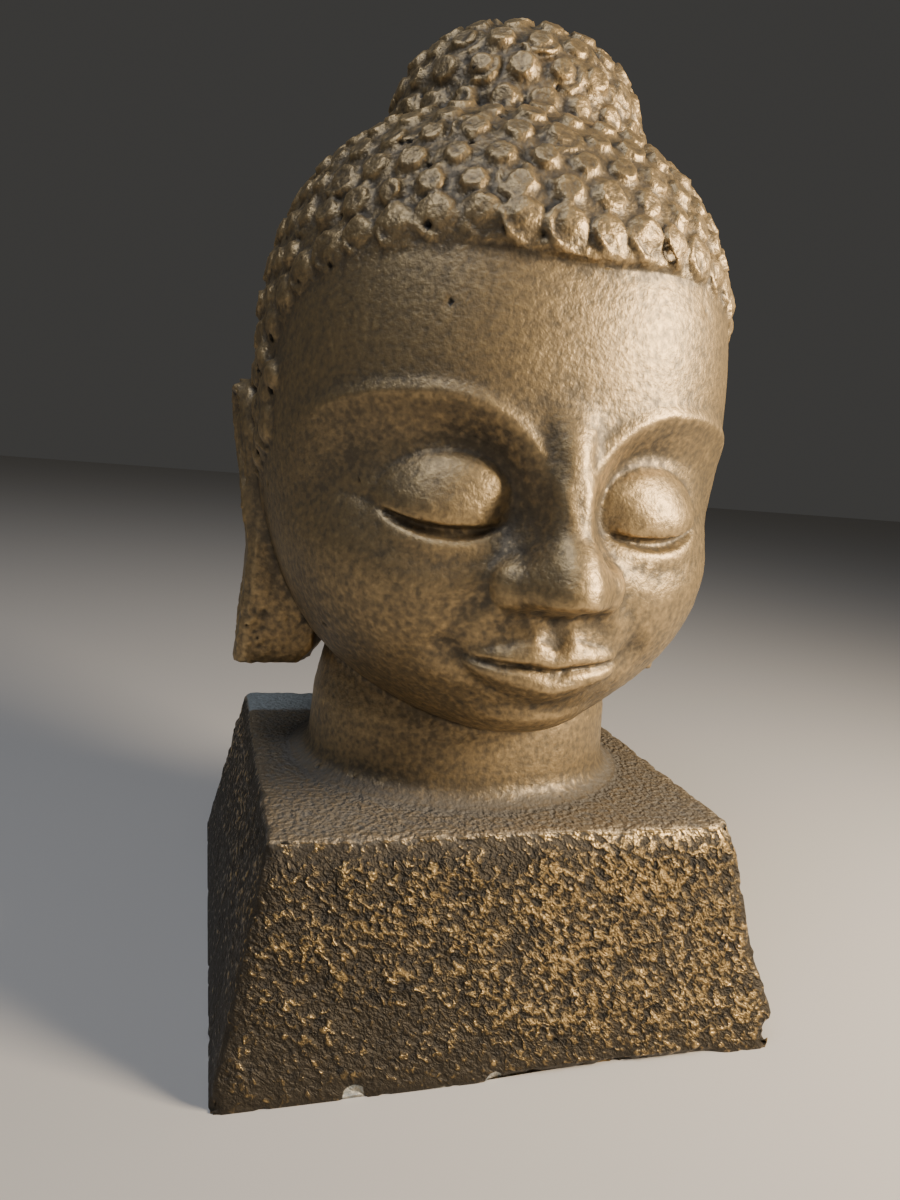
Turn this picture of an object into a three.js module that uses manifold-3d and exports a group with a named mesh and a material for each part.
// A Buddha head on its plinth, cast in one piece of stone.
// Millimetres, +Z up, the face towards -Y, the origin at the middle of the underside.
import * as THREE from "three";
import { mergeVertices } from "three/addons/utils/BufferGeometryUtils.js";
import Module from "manifold-3d";

const STONE = { color: 0x8a7550, roughness: 0.5, metalness: 0.45 };

// Driving dimensions
const PLINTH = {
  width: 160,
  depth: 166,
  topWidth: 135,
  topDepth: 132,
  height: 63,
  cornerRadius: 2.5,
  sideSteps: 5,
  levels: 4,
  wobble: 0.7,
  swelling: 1.5,
  swellingHeight: 13,
  chipDepth: 2,
  chipHeight: 5,
};
const NECK = { halfWidth: 50, halfDepth: 46.5, footFlare: 5.8, footHeight: 6.5, top: 120, segments: 32 };
const FACE = {
  halfWidth: 70.5,
  depth: 74,
  widest: 170,
  chin: 84,
  hiddenTop: 228,
  crownReach: 95,
  hairline: 213,
  columns: 34,
};
const HAIR = {
  halfWidth: 71.8,
  frontDepth: 76,
  backDepth: 79.5,
  widest: 185,
  topReach: 76,
  topPower: 2.5,
  napeReach: 105,
  napePower: 2.6,
  curlHeight: 2.3,
  curlPitch: 10.7,
  rowPitch: 9.4,
  tuck: 7,
};
const TOPKNOT = {
  radius: 39.2,
  centre: [1.5, 0, 245],
  reach: 41.8,
  power: 2.6,
  curlHeight: 2.2,
  skirt: 14,
};
const EAR = { top: 181, bottom: 91, width: 31, lobeThickness: 20, thickness: 27, hollow: 2.6 };

// The face in thirds: hairline to brow, brow to nose, nose to chin
const THIRD = (FACE.hairline - FACE.chin) / 3;
const BROW_Z = FACE.hairline - THIRD;
const NOSE_Z = BROW_Z - THIRD;
const MOUTH_Z = NOSE_Z - THIRD / 3;
const EYE_WIDTH = (2 * FACE.halfWidth) / 5;
const EYE_X = EYE_WIDTH * 1.04;
const EYE_Z = BROW_Z - THIRD * 0.36;

// Features of the face: places from the middle line outwards and over the ground, sizes and depths
const BROW = { peakX: 33, footZ: 149, rise: 28, inner: 28.5, outer: 35, ridge: 1.3 };
const SOCKET = { depth: 8, outerDepth: 2.4 };
const EYE = { ballX: 19.5, ballZ: 12.5, ballHeight: 6.4 };
const LIDS = { upper: 1.35, slit: 1.9, opening: 3, dip: 2.9, lower: 1 };
const NOSE = { height: 14.6, tipRise: 8, bridge: 5.6, widening: 2, wingX: 10.6, wing: 8.2, flank: 6.2 };
const MOUTH = { half: EYE_WIDTH * 0.78, bulge: 4.2, smile: 1.7 };
const LIPS = { upperHeight: 6.4, lowerHeight: 7.8, upper: 3.3, lower: 4.3 };
const CHIN = { height: 5, halfX: 21, halfZ: 14 };
const CHEEK = { height: 4.6, x: 41, halfX: 29, halfZ: 34 };

const wasm = await Module();
wasm.setup();

const clamp = (t) => Math.min(1, Math.max(0, t));
const mix = (a, b, t) => a + (b - a) * t;
const step = (a, b, x) => {
  const t = clamp((x - a) / (b - a));
  return t * t * (3 - 2 * t);
};
const bell = (x, width) => Math.exp(-((x / width) ** 2));
const dome = (x, z, halfX, halfZ, power = 1.5) =>
  Math.max(0, 1 - (x / halfX) ** 2 - (z / halfZ) ** 2) ** power;
// Half-width of a superellipse at a share q of its height
const fall = (q, power) => Math.max(0, 1 - Math.abs(q) ** power) ** (1 / power);

// Smooth union of heights that are 0 or more
const joined = (...heights) => heights.reduce((sum, h) => sum + Math.max(0, h) ** 3.2, 0) ** (1 / 3.2);
// The larger of two values, with a soft change from one to the other
function softMax(a, b, k) {
  const h = clamp(0.5 + (0.5 * (a - b)) / k);
  return mix(b, a, h) + k * h * (1 - h);
}

// Values along a line of [position, value] pairs
function along(pairs, x) {
  const i = pairs.findIndex(([at]) => at > x);
  if (i === 0) return pairs[0][1];
  if (i < 0) return pairs[pairs.length - 1][1];
  const [a, b] = [pairs[i - 1], pairs[i]];
  return mix(a[1], b[1], step(a[0], b[0], x));
}

// count + 1 evenly spaced values
const spread = (from, to, count) =>
  Array.from({ length: count + 1 }, (_, i) => mix(from, to, i / count));

// A solid from rings of points, all with the same number of points, closed by a pole at each end.
// The rings run upwards, and each runs anticlockwise seen from above. A square between two rings is split
// along its rising diagonal, or along its falling one where falls(i, j) says so.
function solidFromRings(rings, bottom, top, falls = () => false) {
  const n = rings[0].length;
  const positions = [bottom, ...rings.flat(), top].flat();
  const last = rings.length * n + 1;
  const faces = [];
  for (let j = 0; j < n; j++) {
    const k = (j + 1) % n;
    faces.push(0, 1 + k, 1 + j);
    faces.push(last, last - n + j, last - n + k);
    for (let i = 0; i + 1 < rings.length; i++) {
      const a = 1 + i * n;
      const b = a + n;
      if (falls(i, j)) faces.push(a + j, a + k, b + j, a + k, b + k, b + j);
      else faces.push(a + j, a + k, b + k, a + j, b + k, b + j);
    }
  }
  const geometry = new THREE.BufferGeometry();
  geometry.setAttribute("position", new THREE.Float32BufferAttribute(positions, 3));
  geometry.setIndex(faces);
  return solidOf(geometry);
}

function solidOf(geometry) {
  const g = geometry.clone();
  g.deleteAttribute("normal");
  g.deleteAttribute("uv");
  const merged = mergeVertices(g, 1e-4);
  const vertProperties = new Float32Array(merged.attributes.position.array);
  const triVerts = new Uint32Array(merged.index.array);
  return new wasm.Manifold(new wasm.Mesh({ numProp: 3, vertProperties, triVerts }));
}

// The plinth: a cut pyramid with slightly uneven hewn sides, a swollen corner and a piece off its foot
function plinthSolid() {
  const { width, depth, topWidth, topDepth, height, cornerRadius, sideSteps, levels, wobble } = PLINTH;
  const { swelling, swellingHeight, chipDepth, chipHeight } = PLINTH;
  const ring = (z) => {
    const share = z / height;
    const halfX = mix(width, topWidth, share) / 2;
    const halfY = mix(depth, topDepth, share) / 2;
    const corners = [[-halfX, -halfY], [halfX, -halfY], [halfX, halfY], [-halfX, halfY]];
    const points = [];
    corners.forEach(([x0, y0], side) => {
      const [x1, y1] = corners[(side + 1) % 4];
      const length = Math.hypot(x1 - x0, y1 - y0);
      const [dx, dy] = [(x1 - x0) / length, (y1 - y0) / length];
      for (const at of spread(cornerRadius, length - cornerRadius, sideSteps)) {
        const inside = Math.sin(Math.PI * share) * step(0, 20, Math.min(at, length - at));
        const push = wobble * inside * Math.sin(at * 0.21 + z * 0.33 + side * 2);
        const [x, y] = [x0 + dx * at + dy * push, y0 + dy * at - dx * push];
        const swell = swelling * bell(Math.hypot(x - halfX, y + halfY, z - swellingHeight), 8.5) * step(0, 9, z);
        points.push([x + 0.8 * swell, y - swell, z]);
      }
    });
    return points;
  };
  const heights = [0, swellingHeight, ...spread(swellingHeight, height, levels - 1).slice(1)];
  const block = solidFromRings(heights.map(ring), [0, 0, 0], [0, 0, height]);
  const chip = new THREE.BoxGeometry(4 * chipHeight, 2 * chipHeight, 2 * chipHeight);
  chip.rotateX(-Math.PI / 5);
  chip.translate(0, -chipHeight - chipDepth * 0.5, 0);
  chip.rotateZ(Math.PI / 4);
  chip.translate(width / 2 - chipDepth, -depth / 2 + chipDepth, 0);
  return block.subtract(solidOf(chip));
}

// The neck: an oval column with a flared foot, which runs up inside the head
function neckSolid() {
  const { halfWidth, halfDepth, footFlare, footHeight, top, segments } = NECK;
  const foot = PLINTH.height;
  const flare = spread(0, 1, 3).map((t) => [
    halfWidth + footFlare * (1 - Math.sqrt(1 - (1 - t) ** 2)),
    foot + footHeight * t,
  ]);
  const root = [[0, foot - 10], [halfWidth, foot - 10]];
  const throat = [[halfWidth - 1, foot + 22], [halfWidth - 8, top], [0, top]];
  const outline = [...root, ...flare, ...throat];
  const lathe = new THREE.LatheGeometry(outline.map(([r, z]) => new THREE.Vector2(r, z)), segments);
  lathe.rotateX(Math.PI / 2);
  lathe.scale(1, halfDepth / halfWidth, 1);
  return solidOf(lathe);
}

// Distance inwards from the brow's arch
function browInside(u, z) {
  const { peakX, footZ, rise, inner, outer } = BROW;
  const reach = u < peakX ? inner : outer;
  const base = footZ + 3 * step(peakX, peakX + outer, u);
  const [dx, dz] = [(u - peakX) / reach, (z - base) / rise];
  const r = Math.hypot(dx, dz) + 1e-9;
  return (1 - r) / (Math.hypot(dx / reach, dz / rise) / r);
}

// Brow arch, socket, and the half-closed lids over the ball of the eye, at a distance u from the middle line
function eyeRelief(u, z) {
  const inside = browInside(u, z);
  const deep = mix(SOCKET.depth, SOCKET.outerDepth, step(10, 58, u));
  let d = -deep * step(-1, 11, inside) * step(136, 154, z) * (1 - step(52, 68, u));
  d += BROW.ridge * bell(inside + 1.4, 2.2) * step(148, 160, z) * (1 - step(54, 68, u));
  const r = Math.hypot((u - EYE_X) / EYE.ballX, (z - EYE_Z + 0.5) / EYE.ballZ);
  d = softMax(d, mix(0.2, 0.9, step(14, 44, u)) - EYE.ballHeight * r ** 2, 3.2);
  // The slit dips in the middle, and the upper lid overlaps it
  const t = (u - EYE_X - 0.6) / (EYE_WIDTH * 0.58);
  const c = Math.max(0, 1 - t * t);
  const below = EYE_Z - 5 - LIDS.dip * c ** 0.9 + 1.2 * t - z;
  const gap = LIDS.opening * c ** 0.8;
  d += LIDS.upper * c ** 0.55 * step(-10, -0.2, below) * (1 - step(-0.3, 0.4, below));
  d -= LIDS.slit * c ** 0.4 * step(-0.2, 0.5, below) * (1 - step(gap - 0.2, gap + 0.7, below));
  d += LIDS.lower * c ** 0.5 * step(gap - 0.3, gap + 1.2, below) * (1 - step(gap + 1.6, gap + 6.5, below));
  d -= 1.6 * bell(Math.hypot((u - 14.5) / 4.2, (z - EYE_Z + 5) / 6.5), 1);
  return d - 1.1 * bell(z - EYE_Z + 17, 4.2) * bell(u - EYE_X, 19);
}

// A straight bridge that widens to a rounded tip with low wings
function noseRelief(u, z) {
  const top = BROW_Z + 10;
  const tipZ = NOSE_Z + NOSE.tipRise;
  const s = clamp((top - z) / (top - tipZ));
  const height = NOSE.height * s ** 1.2 + 1.9 * step(0, 0.3, s) * (1 - step(0.2, 0.8, s));
  const half = NOSE.bridge + NOSE.widening * s ** 1.5 - 1.6 * bell(s - 0.45, 0.3);
  const bridge = height * Math.exp(-((u / (half + 1)) ** 2.8));
  const tip = NOSE.height * dome(u, z - tipZ, 12, 13, 0.6);
  const wing = NOSE.wing * dome(u - NOSE.wingX, z - NOSE_Z - 6.6, 7.6, 8.2, 0.7);
  const flank = NOSE.flank * Math.exp(-((u / mix(9, 15.5, s)) ** 2.2)) * s ** 1.2;
  const under = step(NOSE_Z - 2.4, NOSE_Z + 4.6, z + 0.014 * u * u);
  return joined(bridge, tip, wing, flank) * under;
}

// Closed lips with a slight smile, and the hollows round them
function mouthRelief(u, z) {
  const t = u / MOUTH.half;
  const line = MOUTH_Z + MOUTH.smile * t * t - 0.9 * bell(u, 4.2);
  const shut = Math.max(0, 1 - t * t);
  const upper = LIPS.upperHeight * Math.max(0, 1 - t ** 1.7) + bell(u - 4.8, 2.8) - 1.1 * bell(u, 2.6) + 0.3;
  const lower = LIPS.lowerHeight * fall(t, 2) + 0.3;
  const [up, low] = [(z - line) / upper, (line - z) / lower];
  const swellUp = step(-0.4, 0.35, up) * (1 - 0.5 * step(0.3, 0.92, up));
  const swellLow = step(-0.35, 0.55, low) * (1 - 0.6 * step(0.55, 1, low));
  const rollUp = up < 0 ? 0 : swellUp * (1 - step(0.9, 1.12, up));
  const rollLow = low <= 0 ? 0 : swellLow * (1 - step(0.92, 1.2, low));
  let d = MOUTH.bulge * dome(u, z - MOUTH_Z - 1, 34, 23);
  d += (LIPS.upper * rollUp + LIPS.lower * rollLow) * shut ** 0.6;
  d -= 1.5 * bell(z - line, 0.9) * (1 - step(0.9, 1.12, t));
  d -= 2.2 * bell(Math.hypot(u - MOUTH.half - 1.2, z - line), 4.4);
  d -= 2.8 * bell(z - MOUTH_Z + 12.5, 3.6) * bell(u, 16);
  return d - 0.9 * bell(u, 2.8) * step(MOUTH_Z + 5, MOUTH_Z + 8, z) * (1 - step(NOSE_Z - 5, NOSE_Z + 1, z));
}

function faceRelief(x, z) {
  const u = Math.abs(x);
  const chin = CHIN.height * dome(u, z - FACE.chin - 12, CHIN.halfX, CHIN.halfZ);
  const cheek = CHEEK.height * dome(u - CHEEK.x, z - NOSE_Z - 2, CHEEK.halfX, CHEEK.halfZ);
  return eyeRelief(u, z) + noseRelief(u, z) + mouthRelief(u, z) + chin + cheek;
}

// The face as a solid: its relief in front, and a plain back inside the hair
function faceSolid() {
  const { halfWidth, depth, widest, chin, hiddenTop, crownReach, columns } = FACE;
  const heights = [
    ...[0.2, 1.2, 3, 5.5].map((h) => chin + h),
    ...spread(chin + 9, MOUTH_Z - 8, 3),
    ...spread(MOUTH_Z - 6, MOUTH_Z + 6, 6),
    ...spread(MOUTH_Z + 9.5, NOSE_Z + 5, 4),
    ...spread(NOSE_Z + 9, EYE_Z - 13, 2),
    ...spread(EYE_Z - 10.8, EYE_Z - 4.8, 3),
    ...spread(EYE_Z - 1, BROW_Z + 9, 5),
    ...spread(BROW_Z + 16, hiddenTop, 3),
  ];
  const turns = spread(-1, 1, columns).map((s) => s * (0.62 + 0.38 * s * s));
  const rings = heights.map((z) => {
    const upper = fall((z - widest) / crownReach, 2.6);
    const q = (widest - z) / (widest - chin);
    const w = halfWidth * (z > widest ? upper : fall(q, 2.3));
    const d = depth * (z > widest ? upper : fall(q, 4.6));
    const front = turns.map((t) => {
      const [x, y] = [w * t, -d * fall(t, 2.25)];
      const out = 1 + faceRelief(x, z) / Math.hypot(x, y, 1);
      return [x * out, y * out, z];
    });
    const back = [[0.8 * w, 25, z], [0, 35, z], [-0.8 * w, 25, z]];
    return [...front, ...back];
  });
  return solidFromRings(rings, [0, -10, chin], [0, 0, hiddenTop + 1]);
}

// Height of the hair's edge at an angle from the front, in degrees
const HAIR_EDGE_FRONT = [[0, FACE.hairline], [30, 214], [50, 209], [63, 201], [72, 192]];
const HAIR_EDGE = [...HAIR_EDGE_FRONT, [79, 172], [86, 148], [104, 101]];
const hairEdge = (angle) => along(HAIR_EDGE, Math.abs(angle));

// A closed band of staggered curls, one raised point to a curl, on a surface of revolution
function curlBand({ count, rows, pointAt, shown, height, tuck, under, over }) {
  const isCurl = (i, j) => i % 2 === 1 && j % 2 === ((i - 1) / 2) % 2;
  const rings = rows.map((at, i) =>
    Array.from({ length: 2 * count }, (_, j) => {
      const angle = (360 * j) / (2 * count) - 180;
      const curl = isCurl(i, j);
      const lift = !shown(angle, at) ? -tuck : curl ? height : 0;
      const { point, normal } = pointAt(angle, at);
      return point.map((c, k) => c + normal[k] * lift);
    }),
  );
  return solidFromRings(rings, under, over, (i, j) => isCurl(i, (j + 1) % 2) || isCurl(i + 1, j % 2));
}

// Half-width of the skull under the hair at a height, as a share of its largest
const scalpSize = (z) =>
  z > HAIR.widest
    ? fall((z - HAIR.widest) / HAIR.topReach, HAIR.topPower)
    : fall((HAIR.widest - z) / HAIR.napeReach, HAIR.napePower);

// A point and its outward normal on the skull under the hair
function scalp(angle, z) {
  const turn = THREE.MathUtils.degToRad(angle);
  const [reach, power] = z > HAIR.widest ? [HAIR.topReach, HAIR.topPower] : [HAIR.napeReach, HAIR.napePower];
  const q = (z - HAIR.widest) / reach;
  const size = scalpSize(z);
  const halfDepth = Math.abs(angle) > 90 ? HAIR.backDepth : HAIR.frontDepth;
  const x = HAIR.halfWidth * size * Math.sin(turn);
  const y = -halfDepth * size * Math.cos(turn);
  const normal = new THREE.Vector3(
    (x / HAIR.halfWidth ** 2) * size ** (power - 2),
    (y / halfDepth ** 2) * size ** (power - 2),
    (Math.sign(q) * Math.abs(q) ** (power - 1)) / reach,
  ).normalize();
  return { point: [x, y, z], normal: normal.toArray() };
}

// Heights that lie evenly along a profile whose radius is radiusAt(z)
function evenRows(radiusAt, from, to, pitch) {
  const rows = [from];
  let travelled = 0;
  for (let z = from; z < to; z += 0.05) {
    travelled += Math.hypot(0.05, radiusAt(z + 0.05) - radiusAt(z));
    if (travelled >= pitch) {
      rows.push(z + 0.05);
      travelled = 0;
    }
  }
  return rows;
}

function hairSolids() {
  const { halfWidth, widest, rowPitch, curlPitch, curlHeight, tuck } = HAIR;
  const radiusAt = (z) => halfWidth * scalpSize(z);
  const rowsUp = evenRows(radiusAt, FACE.hairline, 256, rowPitch / 2);
  const rowsDown = spread(FACE.hairline, FACE.hairline - 12 * rowPitch, 24).slice(1).reverse();
  // The rows in front bend down with the hairline
  const sag = (angle) => (hairEdge(Math.min(60, Math.abs(angle))) - FACE.hairline) * 0.8;
  const bent = (angle, z) => z + sag(angle) * (1 - step(widest, 250, z) * 0.7);
  const pointAt = (angle, z) => scalp(angle, bent(angle, z));
  const shown = (angle, z) => bent(angle, z) > hairEdge(angle) - 0.6;
  const low = [...rowsDown, ...rowsUp.slice(0, 7)];
  const high = rowsUp.slice(6);
  const band = (rows, count, edge) =>
    curlBand({
      count,
      rows,
      pointAt,
      shown: edge,
      height: curlHeight,
      tuck,
      under: [0, 0, rows[0] - 2],
      over: [0, 0, rows[rows.length - 1] + 1],
    });
  const lowCount = Math.round((2 * Math.PI * halfWidth) / curlPitch);
  const highCount = Math.round((2 * Math.PI * radiusAt(high[2])) / curlPitch);
  return [band(low, lowCount, shown), band(high, highCount, () => true)];
}

// The topknot: a dome of curls on the crown
function topknotSolid() {
  const { radius, centre, reach, power, curlHeight, skirt } = TOPKNOT;
  const [cx, cy, cz] = centre;
  const size = (z) => fall(Math.max(0, z - cz) / reach, power);
  const rows = evenRows((z) => radius * size(z), cz - skirt + 8, cz + reach - 0.6, HAIR.rowPitch / 2);
  const pointAt = (angle, z) => {
    const turn = THREE.MathUtils.degToRad(angle);
    const q = Math.max(0, z - cz) / reach;
    const r = radius * size(z);
    const normal = new THREE.Vector3(
      (Math.sin(turn) * size(z) ** 1.6) / radius,
      (-Math.cos(turn) * size(z) ** 1.6) / radius,
      q ** 1.6 / reach,
    ).normalize();
    return { point: [cx + r * Math.sin(turn), cy - r * Math.cos(turn), z], normal: normal.toArray() };
  };
  const half = rows.findIndex((z) => radius * size(z) < radius * 0.72);
  const cut = half - (half % 2);
  const band = (part, count) =>
    curlBand({
      count,
      rows: part,
      pointAt,
      shown: () => true,
      height: curlHeight,
      tuck: 0,
      under: [cx, cy, part[0] - 2],
      over: [cx, cy, part[part.length - 1] + 0.5],
    });
  return [band(rows.slice(0, cut + 1), 24), band(rows.slice(cut), 12)];
}

// A long-lobed ear: a slab with a raised rim, sunk into the side of the head
function earSolid(side) {
  const { top, bottom, width, lobeThickness, thickness, hollow } = EAR;
  const outerX = (z) => along([[bottom, 76.3], [114, 74.5], [140, 73.3], [159, 75.5], [top, 77.9]], z);
  const frontY = (z) => along([[bottom, 0], [110, -1], [148, 1], [165, 1], [top, 5]], z);
  const shares = [[bottom, 0.55], [105, 0.65], [125, 0.61], [140, 0.71], [158, 1], [top, 0.87]];
  const wide = (z) => width * along(shares, z);
  const rings = spread(0, 1, 14).map((s) => {
    const z = mix(bottom, top, s);
    const half = (wide(z) / 2) * fall(0.96 * (2 * s - 1), 9);
    const middle = frontY(z) + wide(z) / 2;
    const outer = outerX(z);
    const deep = hollow * step(0.04, 0.2, s) * (1 - step(0.86, 0.96, s));
    const inner = outer - mix(lobeThickness, thickness, step(bottom, bottom + 9, z));
    const profile = [
      [inner, -half],
      [outer - 1.5, -half],
      [outer - 0.4, -half * 0.8],
      [outer - deep, -half * 0.45],
      [outer - deep * 0.8, half * 0.2],
      [outer - deep * 0.3, half * 0.55],
      [outer, half * 0.85],
      [outer - 1.5, half],
      [inner, half],
    ];
    const ring = profile.map(([x, y]) => [side * x, middle + y, z]);
    return side > 0 ? ring : ring.reverse();
  });
  const cap = (z, lift) => [side * (outerX(z) - 5), frontY(z) + wide(z) / 2, z + lift];
  return solidFromRings(rings, cap(bottom, -0.8), cap(top, 0.8));
}

function buddhaHead() {
  const parts = [faceSolid(), ...hairSolids(), ...topknotSolid(), neckSolid(), earSolid(1), earSolid(-1)];
  const whole = parts.reduce((sum, part) => sum.add(part), plinthSolid());
  const { numProp, vertProperties, triVerts } = whole.getMesh();
  const positions = new Float32Array((vertProperties.length / numProp) * 3);
  for (let i = 0; i < positions.length / 3; i++) {
    positions.set(vertProperties.subarray(i * numProp, i * numProp + 3), i * 3);
  }
  const geometry = new THREE.BufferGeometry();
  geometry.setAttribute("position", new THREE.BufferAttribute(positions, 3));
  geometry.setIndex(new THREE.BufferAttribute(triVerts, 1));
  geometry.computeVertexNormals();
  const mesh = new THREE.Mesh(geometry, new THREE.MeshStandardMaterial(STONE));
  mesh.name = "buddha_head_on_plinth";
  return mesh;
}

const group = new THREE.Group();
group.add(buddhaHead());
export default group;
